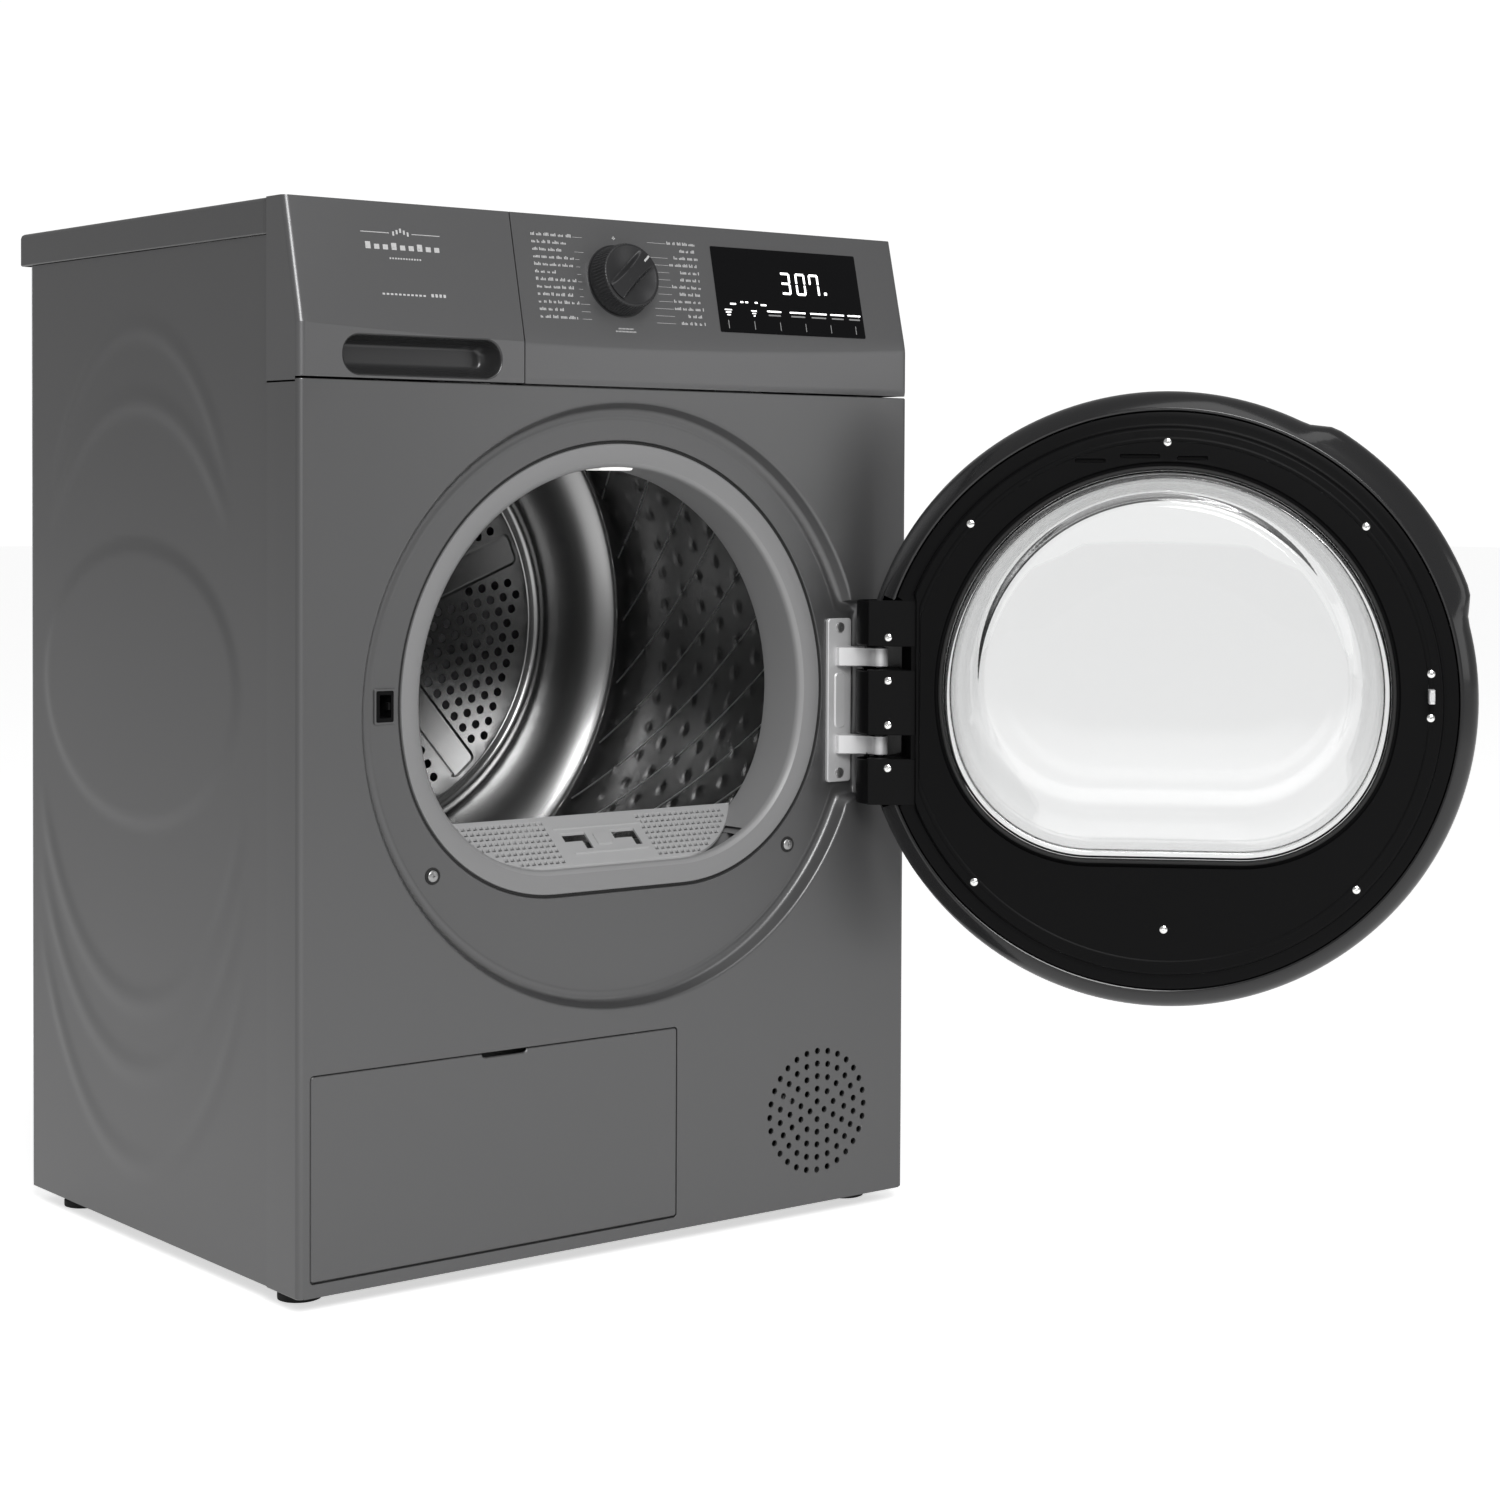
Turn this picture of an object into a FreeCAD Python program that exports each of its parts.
import FreeCAD, Part

import math
import os

os.makedirs("parts", exist_ok=True)

# Condenser tumble dryer, door open.  Millimetres, +Z up, the front faces -Y.
# The drawing frame has y = 0 on the front panel's face and z = 0 on the floor; save() then moves
# every piece so that the origin is at floor level in the middle of the four feet.

# ---------------------------------------------------------------- driving dimensions
cabinet_width = 595.0
cabinet_height = 845.0
cabinet_depth = 480.0
ground_clearance = 12.0
sheet = 1.0
flange_width = 14.0
wrap_depth = 50.0            # how far the front panel and the console wrap round the sides
corner_radius = 5.0
panel_gap = 1.5              # shadow gap between the console and the panels under it
piece_gap = 0.5              # clearance between covers that lie beside each other

top_cover_height = 28.0
top_overhang = 22.0
top_wall = 3.0

# console
console_bottom = 708.0
console_wall = 2.5
facet_back = 24.0            # how far the sloped band leans back at the top
facet_mid_z = 740.0          # height of the facet line in the middle
facet_end_rise = 9.0         # how much higher the facet line is at both ends
drawer_seam_x = -98.0
display_x = 174.5
display_z = 793.0
display_width = 155.0
display_height = 74.0
display_thick = 3.5
knob_x = 0.0
knob_z = 794.0
knob_radius = 29.0
knob_height = 23.0
knob_grip_width = 13.0
knob_grip_turn = 42.0
knob_shaft_radius = 3.0
grip_x = -189.5
grip_z = 727.0
grip_width = 140.0
grip_height = 31.0
grip_depth = 22.0
grip_corner = 14.0

# door recess and opening in the front panel
recess_x = 4.0
recess_z = 448.7
recess_radius = 245.5
recess_floor_radius = 237.0
recess_depth = 12.0
recess_edge_radius = 3.0
mouth_z = 456.0              # centre of the D-shaped opening's round part
mouth_radius = 187.0
mouth_chord = 138.5          # how far the flat bottom lies under that centre
mouth_corner = 122.0
mouth_rim = 20.0             # width of the plastic rim round the opening
mouth_gap = 0.8
lip_back = 3.0               # how far the opening's lip lies behind the rim's outer edge
neck_wall = 3.0
neck_end = 66.0

# hinge
hinge_z = 444.0
pivot_x = 250.0
pivot_y = -22.0
hinge_plate_x = (217.0, 243.0)
hinge_plate_height = 142.0
hinge_plate_thick = 3.5
hinge_arm_spread = 38.0      # from the hinge's middle to each arm's middle
hinge_arm_height = 17.0
hinge_arm_slot = 20.0
hinge_eye_radius = 7.0
hinge_pin_radius = 3.0
running_gap = 0.05
hinge_pocket_x = 251.0
hinge_pocket_height = 170.0

# latch
latch_x = -217.0
latch_z = 456.5
latch_width = 15.0
latch_height = 24.0
hook_width = 5.0
hook_height = 12.0
hook_reach = 17.0

# door, drawn closed and then turned open about the pivot
door_open_deg = 133.5
door_radius = 263.0
door_front = -46.5
door_edge_front = -34.0
door_edge_back = -16.0
door_back_radius = 248.0
door_back = -3.0
door_wall = 3.0
door_window_radius = 192.0
window_thick = 3.0
window_ledge = -39.0          # where the window rests against the outer frame
rim_step_radius = 231.0
inner_face = 5.0
inner_wall = 2.5
bowl_z = 455.0
bowl_radius = 184.0
bowl_chord = 135.0
bowl_corner = 119.0
bowl_end = 56.0
bowl_end_z = 466.0
bowl_end_radius = 160.0
bowl_end_chord = 100.0
bowl_end_corner = 100.0
bowl_wall = 4.0
bowl_flange = 5.0
seal_inner = 4.5
seal_width = 4.0
seal_end = 11.0
handle_radius = 271.0
handle_from_deg = 17.0
handle_to_deg = 60.0
handle_back = -26.0
door_tab_height = 176.0
door_tab_reach = 21.0
door_tab_chord = 34.0
tab_back = -3.6
door_screw_radius = 3.6

# drum and its drive
drum_z = 500.0
drum_radius = 285.0
drum_sheet = 1.0
drum_front = 72.0
drum_mouth_radius = 266.0
drum_end = 427.0
drum_back = 440.0
drum_disc_radius = 190.0
lifter_height = 45.0
lifter_width = 60.0
lifter_turn = 58.0
drum_shaft_radius = 9.0
bearing_radius = 18.0
touch_gap = 0.3
belt_y = 305.0
belt_width = 10.0
belt_thick = 2.0
motor_x = 201.0
motor_z = 92.0
motor_radius = 60.0
motor_from = 150.0
motor_to = 288.0
rotor_radius = 35.0
motor_shaft_radius = 6.0
pulley_radius = 9.0
pulley_flange = 12.0
idler_radius = 18.0
idler_place = 0.75           # where along the belt's slack run the idler presses
idler_arm_length = 60.0
roller_radius = 28.0
roller_width = 20.0
roller_y = 90.0
roller_spread_deg = 30.0
roller_pin_radius = 5.0

# fans and vent
vent_rings = 5
vent_first_count = 4
vent_count_step = 6
vent_pitch = 10.9
vent_first_radius = 7.7
vent_hole_radius = 2.6
cooling_fan_radius = 58.0
process_fan_radius = 68.0
blade_count = 24
blade_thick = 1.5

# base, condenser and flap
floor_low = 16.0
floor_thick = 3.0
base_half_width = 293.0
base_front = 24.0
base_back = 474.0
base_wall_height = 46.0
chamber_x = (-265.0, 0.0)
chamber_top = 171.0
chamber_back = 410.0
chamber_wall = 3.0
flap_x = (-287.5, 53.0)
flap_z = (22.0, 181.0)
flap_corner = 3.5
flap_gap = 1.0
flap_thick = 2.5
flap_pivot_y = 11.0
flap_pivot_z = 34.5
flap_pin_radius = 3.0
flap_slot_x = -115.0
flap_slot_width = 41.0
lever_radius = 7.0
lever_length = 25.0
lever_x = (-236.0, -29.0)
lever_z = 97.0
lever_y = 15.0
lever_thick = 5.0
lever_pin_radius = 3.0

# lint filter
filter_half_width = 126.0
filter_y = (23.0, 57.0)
filter_low = 200.0
filter_front_z = 319.0
filter_back_z = 356.0
filter_wall = 2.0
filter_gap = 1.0

# water tank
tank_left = -288.0
tank_right = -106.0
tank_top = 806.0
tank_low = 716.0
tank_bend_x = -232.0
tank_slope_z = 782.0
tank_back = 430.0
tank_wall = 2.0
tray_gap = 1.0
tray_wall = 2.0
tray_front = 51.0
tray_back = 440.0

# feet
foot_x = 270.0
foot_front = 48.0
foot_back = 432.0
foot_radius = 17.0
foot_pad = 9.0
foot_stem = 5.0
foot_stem_top = 38.0
foot_boss = 10.0

# rear
duct_depth = 20.0
duct_sheet = 1.2
duct_radius = 236.0
duct_x = (60.0, 284.0)
duct_z = (24.0, 420.0)
shroud_radius = 228.0
shroud_front = 448.0
spigot_x = -200.0
spigot_z = 90.0
spigot_radius = 8.0
spigot_bore = 6.0
spigot_length = 20.0
spigot_neck_radius = 7.2
spigot_neck_length = 1.5      # the neck ends this far behind the rear panel
gland_x = -255.0
gland_z = 150.0
gland_radius = 12.0
gland_bore = 4.2
screw_head = 4.0
screw_shank = 2.0
screw_head_height = 2.4
hose_radius = 5.0
hose_bore = 3.5
hose_bend = 22.0
hose_x = -284.0
hose_y = 464.0
hose_low = 96.0
hose_high = 778.0

half_width = cabinet_width / 2
inner_half = half_width - sheet
inner_back = cabinet_depth - sheet
top_low = cabinet_height - top_cover_height
drum_outer = drum_radius + drum_sheet
belt_inner_drum = drum_outer + touch_gap
belt_inner_pulley = pulley_radius + touch_gap
door_x = recess_x
door_z = recess_z
middle_y = (foot_front + foot_back) / 2


# ---------------------------------------------------------------- helpers
def vec(x, y, z):
    return FreeCAD.Vector(x, y, z)


def box(x, y, z):
    """Box from three (low, high) pairs."""
    return Part.makeBox(x[1] - x[0], y[1] - y[0], z[1] - z[0], vec(x[0], y[0], z[0]))


def cyl_y(x, z, radius, y0, y1):
    return Part.makeCylinder(radius, y1 - y0, vec(x, y0, z), vec(0, 1, 0))


def cyl_z(x, y, radius, z0, z1):
    return Part.makeCylinder(radius, z1 - z0, vec(x, y, z0), vec(0, 0, 1))


def cyl_x(y, z, radius, x0, x1):
    return Part.makeCylinder(radius, x1 - x0, vec(x0, y, z), vec(1, 0, 0))


def tube_y(x, z, outer, inner, y0, y1):
    return cyl_y(x, z, outer, y0, y1).cut(cyl_y(x, z, inner, y0 - 1, y1 + 1))


def prism(points, push):
    wire = Part.makePolygon([vec(*p) for p in points] + [vec(*points[0])])
    return Part.Face(wire).extrude(vec(*push))


def turned(profile, x, z):
    """Solid of revolution about the line along Y through (x, z); profile is (radius, y) points."""
    wire = Part.makePolygon([vec(r, y, 0) for r, y in profile + profile[:1]])
    solid = Part.Face(wire).revolve(vec(0, 0, 0), vec(0, 1, 0), 360)
    solid.translate(vec(x, 0, z))
    return solid


def rounded(x, z, radius, y0, y1):
    """Plate in the XZ plane with rounded corners."""
    plate = box(x, (y0, y1), z)
    upright = [e for e in plate.Edges if abs(e.tangentAt(e.FirstParameter).y) > 0.9]
    return plate.makeFillet(radius, upright)


def d_wire(x, z, radius, chord, corner, y):
    """Circle with a flat bottom: chord is the flat's distance under the centre."""
    side = math.sqrt((radius - corner) ** 2 - (corner - chord) ** 2)
    reach = radius / (radius - corner)
    lift = corner - chord
    touch = (side * reach, lift * reach)
    half_turn = (math.atan2(lift, side) - math.pi / 2) / 2
    mid = (side + corner * math.cos(half_turn), lift + corner * math.sin(half_turn))

    def at(px, pz):
        return vec(x + px, y, z + pz)

    top = Part.Arc(at(*touch), at(0, radius), at(-touch[0], touch[1])).toShape()
    left = Part.Arc(at(-touch[0], touch[1]), at(-mid[0], mid[1]), at(-side, -chord)).toShape()
    flat = Part.makeLine(at(-side, -chord), at(side, -chord))
    right = Part.Arc(at(side, -chord), at(*mid), at(*touch)).toShape()
    return Part.Wire([top, left, flat, right])


def d_prism(grow, y0, y1, z=mouth_z, radius=mouth_radius, chord=mouth_chord, corner=mouth_corner):
    wire = d_wire(recess_x, z, radius + grow, chord + grow, corner + grow, y0)
    return Part.Face(wire).extrude(vec(0, y1 - y0, 0))


def fuse(*solids):
    whole = solids[0]
    for solid in solids[1:]:
        whole = whole.fuse(solid)
    return whole.removeSplitter()


def group(solids):
    return Part.makeCompound(solids)


def save(name, shape):
    placed = shape.copy()
    placed.translate(vec(0, -middle_y, 0))
    placed.exportStep("parts/" + name + ".step")


def open_door(shape):
    """Swings a piece drawn with the door shut to the open rest position."""
    swung = shape.copy()
    swung.rotate(vec(pivot_x, pivot_y, 0), vec(0, 0, 1), door_open_deg)
    return swung


def on_slope(shape, x, z):
    """Places a piece drawn about the origin, +Z outwards, on the console's sloped band."""
    low = facet_line(x)
    lean = math.atan2(facet_back, cabinet_height - low)
    placed = shape.copy()
    placed.rotate(vec(0, 0, 0), vec(1, 0, 0), 90 - math.degrees(lean))
    placed.translate(vec(x, facet_back * (z - low) / (cabinet_height - low), z))
    return placed


def facet_line(x):
    return facet_mid_z + facet_end_rise * (x / half_width) ** 2


# ---------------------------------------------------------------- cabinet shells
def front_panel():
    skin = box((-half_width, half_width), (0, wrap_depth), (ground_clearance, console_bottom - panel_gap))
    corners = [e for e in skin.Edges if abs(e.tangentAt(e.FirstParameter).z) > 0.9
        and e.CenterOfMass.y < 1]
    skin = skin.makeFillet(corner_radius, corners)
    hollow = box((-inner_half, inner_half), (sheet, wrap_depth + 1), (0, console_bottom))
    inner = [e for e in hollow.Edges if abs(e.tangentAt(e.FirstParameter).z) > 0.9
        and e.CenterOfMass.y < 2]
    skin = skin.cut(hollow.makeFillet(corner_radius - sheet, inner))
    top_return = box((-inner_half, inner_half), (sheet, 18),
        (console_bottom - panel_gap - sheet, console_bottom - panel_gap))
    skin = skin.fuse(top_return)
    edge = recess_edge_radius
    cup = turned([(0, 0), (recess_radius, 0), (recess_radius, sheet),
        (recess_floor_radius + sheet, recess_depth + sheet), (0, recess_depth + sheet)], recess_x,
        recess_z)
    dish = turned([(0, -1), (recess_radius, -1), (recess_radius, 0), (recess_floor_radius, recess_depth),
        (0, recess_depth)], recess_x, recess_z)
    pocket_z = (hinge_z - hinge_pocket_height / 2, hinge_z + hinge_pocket_height / 2)
    pocket = rounded((recess_x, hinge_pocket_x), pocket_z, edge, -1, recess_depth)
    pocket_wall = rounded((recess_x, hinge_pocket_x + sheet), (pocket_z[0] - sheet, pocket_z[1] + sheet),
        edge + sheet, 0, recess_depth + sheet)
    panel = skin.fuse(cup).fuse(pocket_wall).cut(dish).cut(pocket)
    panel = panel.cut(d_prism(mouth_rim + mouth_gap, -1, recess_depth + 2))
    slot = box((latch_x - latch_width / 2, latch_x + latch_width / 2), (0, 20),
        (latch_z - latch_height / 2, latch_z + latch_height / 2))
    panel = panel.cut(slot)
    panel = panel.cut(rounded(flap_x, flap_z, flap_corner, -1, sheet + 1))
    panel = panel.cut(group(vent_holes(-1, sheet + 1)))
    screws = [cyl_y(x, z, screw_shank + 0.1, recess_depth - 1, recess_depth + 2)
        for x, z in recess_screws() + hinge_screw_places()]
    return panel.cut(group(screws)).removeSplitter()


def vent_holes(y0, y1):
    holes = []
    for ring in range(vent_rings):
        count = vent_first_count + vent_count_step * ring
        radius = vent_first_radius + vent_pitch * ring
        for k in range(count):
            a = 2 * math.pi * (k + 0.5 * (ring % 2)) / count
            holes.append(cyl_y(motor_x + radius * math.cos(a), motor_z + radius * math.sin(a),
                vent_hole_radius, y0, y1))
    return holes


def recess_screws():
    return [(recess_x - 178.0, recess_z - 126.5), (recess_x + 172.0, recess_z - 126.5)]


def hinge_screw_places():
    middle = sum(hinge_plate_x) / 2
    return [(middle, hinge_z - 63.0), (middle, hinge_z + 63.0)]


def side_panel(sign):
    z = (ground_clearance, top_low)
    y = (wrap_depth + piece_gap, cabinet_depth)
    x = sorted((sign * inner_half, sign * half_width))
    plate = box(x, y, z)
    flange = sorted((sign * (inner_half - flange_width), sign * inner_half))
    front = box(flange, (y[0], y[0] + sheet), (z[0], console_bottom - 8))
    back = box(flange, (inner_back - piece_gap - sheet, inner_back - piece_gap), z)
    x_hole = sign * (inner_half - 8)
    holes = [cyl_y(x_hole, hz, screw_shank + 0.1, inner_back - 4, inner_back)
        for hz in rear_screw_heights()]
    return fuse(plate, front, back).cut(group(holes))


def rear_screw_heights():
    return [60.0, 300.0, 540.0, 780.0]


def rear_panel():
    low = ground_clearance + 2
    plate = box((-inner_half + 1, inner_half - 1), (inner_back, cabinet_depth), (low, top_low - 1))
    ports = fuse(cyl_y(0, drum_z, shroud_radius - 2, inner_back - 1, cabinet_depth + 1),
        cyl_y(motor_x, motor_z, process_fan_radius, inner_back - 1, cabinet_depth + 1))
    spigot = cyl_y(spigot_x, spigot_z, spigot_radius + 0.3, inner_back - 1, cabinet_depth + 1)
    gland = cyl_y(gland_x, gland_z, gland_radius - 4 + 0.2, inner_back - 1, cabinet_depth + 1)
    shroud = tube_y(0, drum_z, shroud_radius, shroud_radius - 2, shroud_front, inner_back)
    holes = [cyl_y(s * (inner_half - 8), z, screw_shank + 0.1, inner_back - 1, cabinet_depth + 1)
        for s in (-1, 1) for z in rear_screw_heights()]
    return fuse(plate.cut(ports), shroud).cut(fuse(spigot, gland)).cut(group(holes))


def duct_outline(shrink, y0, y1):
    disc = cyl_y(0, drum_z, duct_radius - shrink, y0, y1)
    leg = box((duct_x[0] + shrink, duct_x[1] - shrink), (y0, y1), (duct_z[0] + shrink, duct_z[1]))
    return fuse(disc, leg)


def rear_duct_cover():
    back = cabinet_depth + duct_depth
    return duct_outline(0, cabinet_depth,
        back).cut(duct_outline(duct_sheet, cabinet_depth - 1, back - duct_sheet))


def top_cover():
    y = (wrap_depth + piece_gap, cabinet_depth + top_overhang)
    slab = box((-half_width, half_width), y, (top_low, cabinet_height))
    rim = [e for e in slab.Edges if abs(e.tangentAt(e.FirstParameter).z) > 0.9
        and e.CenterOfMass.y > y[0] + 1]
    slab = slab.makeFillet(corner_radius, rim)
    wall = top_wall
    hollow = box((-half_width + wall, half_width - wall), (y[0] + wall, y[1] - wall),
        (top_low - 1, cabinet_height - wall))
    return slab.cut(hollow)


# ---------------------------------------------------------------- console
def console_body(inset):
    """The console's outer body, or the same body drawn in by inset for its hollow."""
    low = console_bottom + inset
    high = cabinet_height - inset
    body = box((-half_width + inset, half_width - inset), (inset, wrap_depth + (1 if inset else 0)),
        (low, high))
    ends = [e for e in body.Edges if abs(e.tangentAt(e.FirstParameter).z) > 0.9
        and e.CenterOfMass.y < inset + 1]
    body = body.makeFillet(corner_radius - inset, ends)
    reach = half_width + 5
    over = 4.0
    lean = over * facet_back / (cabinet_height - facet_mid_z)
    facet = Part.Arc(vec(-reach, 0, facet_line(reach)), vec(0, 0, facet_mid_z),
        vec(reach, 0, facet_line(reach))).toShape()
    crest = Part.makeLine(vec(-reach, facet_back + lean, cabinet_height + over),
        vec(reach, facet_back + lean, cabinet_height + over))
    cutter = Part.makeRuledSurface(facet, crest).extrude(vec(0, -60, 0))
    cutter.translate(vec(0, inset, 0))
    return body.cut(cutter)


def mouth_room():
    return cyl_y(0, drum_z, drum_mouth_radius - 2, 42, wrap_depth + 1)


def console_shell():
    return console_body(0).cut(console_body(console_wall)).cut(mouth_room())


def display_pocket(grow, low, high):
    size = (display_width / 2 + grow, display_height / 2 + grow)
    plate = box((-size[0], size[0]), (-size[1], size[1]), (low, high))
    return on_slope(plate, display_x, display_z)


def console_fascia():
    seam = drawer_seam_x + piece_gap
    right = console_shell().common(box((seam, half_width + 1), (-1, wrap_depth + 2),
        (console_bottom - 1, cabinet_height + 1)))
    wall = console_body(0).common(box((seam, seam + console_wall), (0, wrap_depth),
        (console_bottom, cabinet_height)))
    hole = on_slope(cyl_z(0, 0, knob_shaft_radius + 1.5, -12, 6), knob_x, knob_z)
    return fuse(right, wall).cut(mouth_room()).cut(display_pocket(0.3, -8, 6)).cut(hole)


def display_glass():
    return display_pocket(0, -display_thick + 0.6, 0.6)


def control_board():
    board = box((-74, 74), (-33, 33), (-9.6, -8))
    feet = [box((x - 3, x + 3), (y - 3, y + 3), (-8, 0.6 - display_thick)) for x in (-68, 68)
        for y in (-28, 28)]
    chips = [box((x - 9, x + 9), (-8, 8), (-12.6, -9.6)) for x in (-45, 0, 45)]
    return on_slope(fuse(board, *feet, *chips), display_x, display_z)


def knob_encoder():
    case = box((-12, 12), (-12, 12), (-20, -console_wall - 1.5))
    return on_slope(case.cut(cyl_z(0, 0, knob_shaft_radius + running_gap, -21, 0)), knob_x, knob_z)


def knob():
    skirt = Part.makeCone(knob_radius, knob_radius - 1, 9, vec(0, 0, 1.2))
    crown = cyl_z(0, 0, knob_radius - 2.5, 10.2, knob_height)
    grip = box((-knob_radius, knob_radius), (-knob_grip_width / 2, knob_grip_width / 2),
        (10.2, knob_height))
    grip.rotate(vec(0, 0, 0), vec(0, 0, 1), knob_grip_turn)
    shaft = cyl_z(0, 0, knob_shaft_radius, -18, 1.2)
    return on_slope(fuse(skirt, crown.common(grip), shaft), knob_x, knob_z)


def grip_pocket(grow, y0, y1):
    x = (grip_x - grip_width / 2 - grow, grip_x + grip_width / 2 + grow)
    z = (grip_z - grip_height / 2 - grow, grip_z + grip_height / 2 + grow)
    return rounded(x, z, grip_corner + grow, y0, y1)


def drawer_front():
    left = console_shell().common(box((-half_width - 1, drawer_seam_x), (-1, wrap_depth + 2),
        (console_bottom - 1, cabinet_height + 1)))
    wall = console_body(0).common(box((drawer_seam_x - console_wall, drawer_seam_x), (0, wrap_depth),
        (console_bottom, cabinet_height)))
    cup = grip_pocket(console_wall, 0.5, grip_depth + console_wall)
    return fuse(left, wall, cup).cut(mouth_room()).cut(grip_pocket(0, -1, grip_depth))


# ---------------------------------------------------------------- front bulkhead and drum mouth
def filter_slope(y):
    return filter_front_z + (filter_back_z - filter_front_z) * (y - 20.0) / (neck_end - 20.0)


def filter_shaft(grow, z0, z1):
    x = (recess_x - filter_half_width - grow, recess_x + filter_half_width + grow)
    return box(x, (filter_y[0] - grow, filter_y[1] + grow), (z0, z1))


def front_bulkhead():
    rim_face = recess_depth
    rim = d_prism(mouth_rim, rim_face, rim_face + 4)
    neck = d_prism(neck_wall, rim_face + lip_back, neck_end)
    low = chamber_top + 1
    plate = box((-285, 285), (40, 43), (low, console_bottom - 4))
    ring = tube_y(0, drum_z, drum_mouth_radius - 4, drum_mouth_radius - 8, 43, drum_front + 8)
    shaft = filter_shaft(filter_gap + filter_wall, low, mouth_z - mouth_chord)
    body = fuse(rim, neck, plate, ring, shaft)
    bore = d_prism(0, rim_face - 1, neck_end + 1)
    slope = Part.makeLoft([d_wire(recess_x, mouth_z, mouth_radius + g, mouth_chord + g, mouth_corner + g,
        y) for g, y in ((9, rim_face - 0.5), (0, rim_face + lip_back + 1))], True, True)
    body = body.cut(bore).cut(slope).cut(filter_shaft(filter_gap, low - 1, mouth_z))
    pins = [cyl_y(x, z, roller_pin_radius, 43, roller_y + roller_width / 2 + 3)
        for x, z in roller_places()]
    lamp = box((-13, 21), (19, 46), (mouth_z + mouth_radius - 10, mouth_z + mouth_radius + 3.2))
    return fuse(body, *pins).cut(lamp)


def roller_places():
    reach = drum_outer + touch_gap + roller_radius
    a = math.radians(roller_spread_deg)
    return [(s * reach * math.sin(a), drum_z - reach * math.cos(a)) for s in (-1, 1)]


def lamp_lens():
    top = mouth_z + mouth_radius + 3.2
    return rounded((-12.8, 20.8), (top - 10.5, top - 0.2), 2.0, 19.2, 45.8)


def front_felt_seal():
    return tube_y(0, drum_z, drum_mouth_radius - touch_gap, drum_mouth_radius - 4, drum_front - 3,
        drum_front + 5)


def lint_filter_cover():
    body = d_prism(-filter_gap, 20.0, neck_end - 0.5)
    wedge = prism([(-200, 19.5, filter_slope(19.5)), (-200, neck_end, filter_slope(neck_end)),
        (-200, neck_end, 700), (-200, 19.5, 700)], (400, 0, 0))
    cover = body.cut(wedge)
    under = prism([(-200, 19.5, filter_slope(19.5) - 4), (-200, neck_end, filter_slope(neck_end) - 4),
        (-200, neck_end, 200), (-200, 19.5, 200)], (400, 0, 0))
    hollow = d_prism(-filter_gap - 5, 24.0, neck_end - 4).common(under)
    cover = cover.cut(hollow).cut(filter_shaft(-filter_wall, 300,
        mouth_z - mouth_chord + 8).common(under))
    frame = filter_shaft(0, filter_low,
        mouth_z - mouth_chord + 8).cut(filter_shaft(-filter_wall, filter_low + filter_wall, 400))
    windows = [box((recess_x + a, recess_x + b), (10, 70), (filter_low + 12, 292))
        for a, b in ((-116, -64), (-56, -4), (4, 56), (64, 116))]
    slots = [box((recess_x + x - 11, recess_x + x + 11), (38, 50), (312, 400)) for x in (-24, 26)]
    grids = []
    for side in (-1, 1):
        for k in range(7):
            x = recess_x + side * (52 + 10 * k)
            grids.append(box((x - 3, x + 3), (30, 52), (312, 400)))
    whole = fuse(cover, frame.cut(group(windows)))
    return whole.cut(group(slots + grids))


def lint_filter_screen():
    outer = filter_shaft(-filter_wall - 0.2, filter_low + filter_wall + 0.2, 312)
    return outer.cut(filter_shaft(-filter_wall - 0.8, filter_low + filter_wall + 0.8, 320))


def latch_receptacle():
    lip = rounded((latch_x - latch_width / 2 - 2, latch_x + latch_width / 2 + 2),
        (latch_z - latch_height / 2 - 2, latch_z + latch_height / 2 + 2), 1.5, recess_depth - 1.2,
        recess_depth)
    case = box((latch_x - latch_width / 2 + 0.2, latch_x + latch_width / 2 - 0.2), (recess_depth, 32),
        (latch_z - latch_height / 2 + 0.2, latch_z + latch_height / 2 - 0.2))
    slot = box((latch_x - 4.5, latch_x + 5.5), (0, 30), (latch_z - 9, latch_z + 9))
    return fuse(lip, case).cut(slot)


# ---------------------------------------------------------------- hinge and door
def hinge_plate():
    z = (hinge_z - hinge_plate_height / 2, hinge_z + hinge_plate_height / 2)
    front = recess_depth - hinge_plate_thick
    plate = rounded(hinge_plate_x, z, 3.0, front, recess_depth)
    arms = []
    for s in (-1, 1):
        mid = hinge_z + s * hinge_arm_spread
        low = mid - hinge_arm_height / 2
        high = mid + hinge_arm_height / 2
        eye = cyl_z(pivot_x, pivot_y, hinge_eye_radius, low, high)
        root = hinge_plate_x[1] - 3
        path = [(root - 12, front + 1, low), (root - 12, front - 5, low),
            (pivot_x - hinge_eye_radius, pivot_y, low), (pivot_x, pivot_y, low),
            (pivot_x + 1, pivot_y + hinge_eye_radius, low), (root, front - 3, low),
            (root, front + 1, low)]
        arms.append(fuse(eye, prism(path, (0, 0, high - low))))
    holes = [cyl_y(x, hz, screw_shank + 0.1, 0, 20) for x, hz in hinge_screw_places()]
    bores = [cyl_z(pivot_x, pivot_y, hinge_pin_radius + running_gap, hinge_z - 90, hinge_z + 90)]
    return fuse(plate, *arms).cut(group(holes)).cut(group(bores))


def arm_sweep(grow):
    """The space that both hinge arms sweep in the door's own frame."""
    solids = []
    for s in (-1, 1):
        mid = hinge_z + s * hinge_arm_spread
        half = hinge_arm_slot / 2 + grow
        sweep = cyl_z(pivot_x, pivot_y, 46.0 + grow, mid - half, mid + half)
        keep = prism([(pivot_x + 60, pivot_y - 13, 0), (pivot_x + 60, 60, 0), (pivot_x - 60, 60, 0),
            (pivot_x - 16, pivot_y - 13, 0)], (0, 0, 900))
        solids.append(sweep.common(keep))
    return group(solids)


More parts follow.
